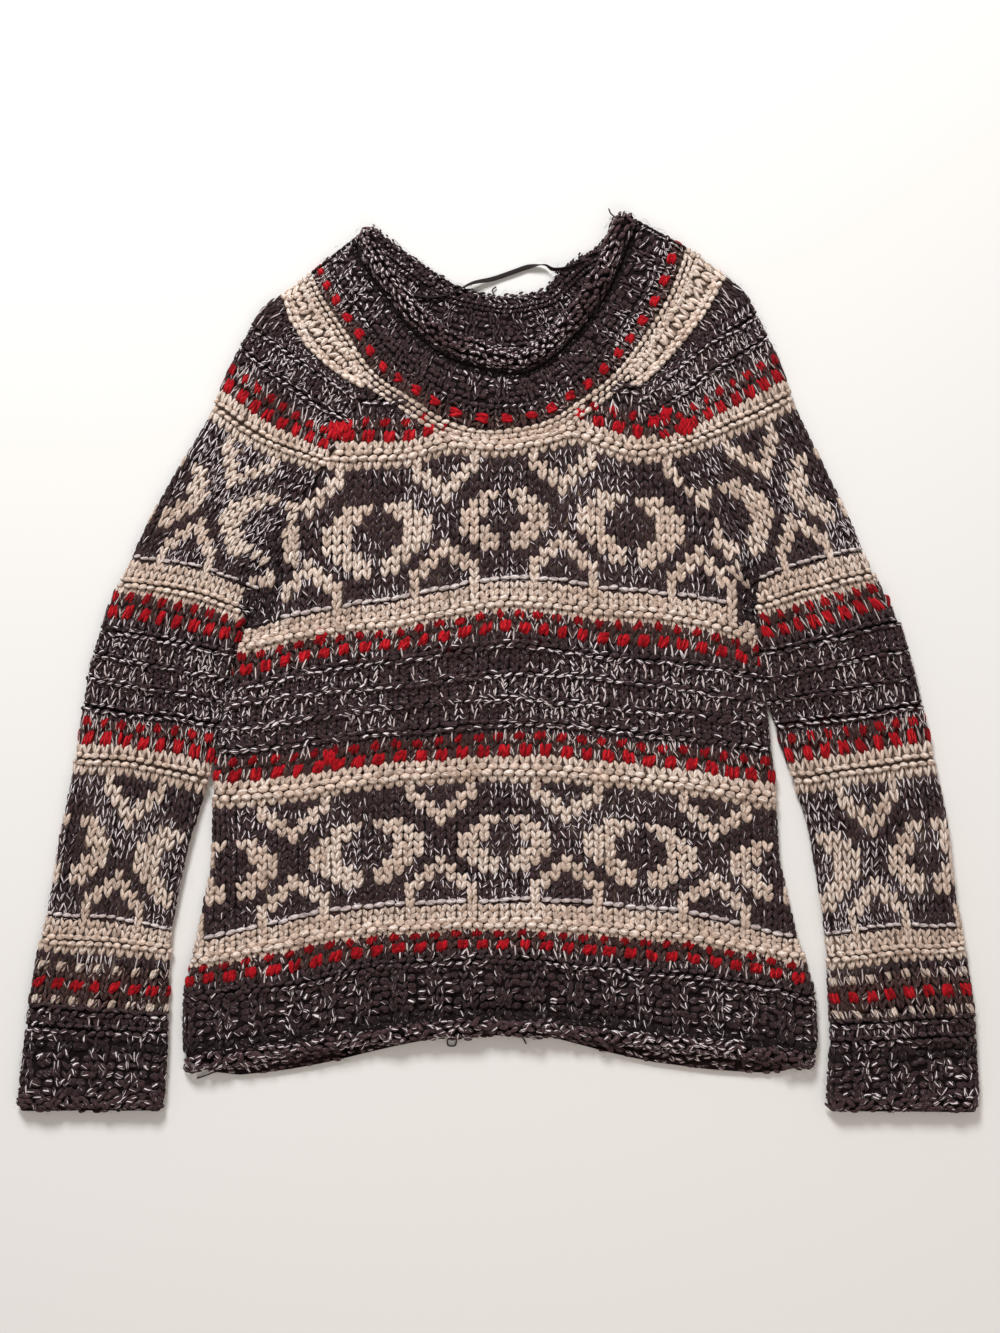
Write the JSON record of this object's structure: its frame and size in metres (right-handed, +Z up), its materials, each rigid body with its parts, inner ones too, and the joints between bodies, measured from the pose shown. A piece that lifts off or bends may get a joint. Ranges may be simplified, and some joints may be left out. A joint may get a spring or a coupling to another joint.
{
  "type": "fair isle sweater",
  "caption": "Chunky knitted sweater with raglan sleeves, banded fair isle motifs and ribbed neckband, cuffs and hem with rolled edges, lying flat.",
  "frame": {"origin": "middle of the bounding box, on the surface the sweater lies on", "axes": "+Z up from the surface it lies on, +Y towards the neckband, +X towards the right sleeve as seen from above"},
  "size_m": [0.7506, 0.7006, 0.0155],
  "materials": {
    "front": "matt marled chunky knit",
    "back": "matt marled chunky knit",
    "sleeve_left": "matt marled chunky knit",
    "sleeve_right": "matt marled chunky knit",
    "neckband": "matt marled chunky knit",
    "hem_band": "matt marled chunky knit",
    "cuff_left": "matt marled chunky knit",
    "cuff_right": "matt marled chunky knit",
    "hanger_loop": "dull satin ribbon"
  },
  "bodies": {
    "root": {"front": "front", "back": "back", "sleeve_left": "sleeve_left", "sleeve_right": "sleeve_right", "neckband": "neckband", "hem_band": "hem_band", "cuff_left": "cuff_left", "cuff_right": "cuff_right", "hanger_loop": "hanger_loop"}
  },
  "joints": []
}
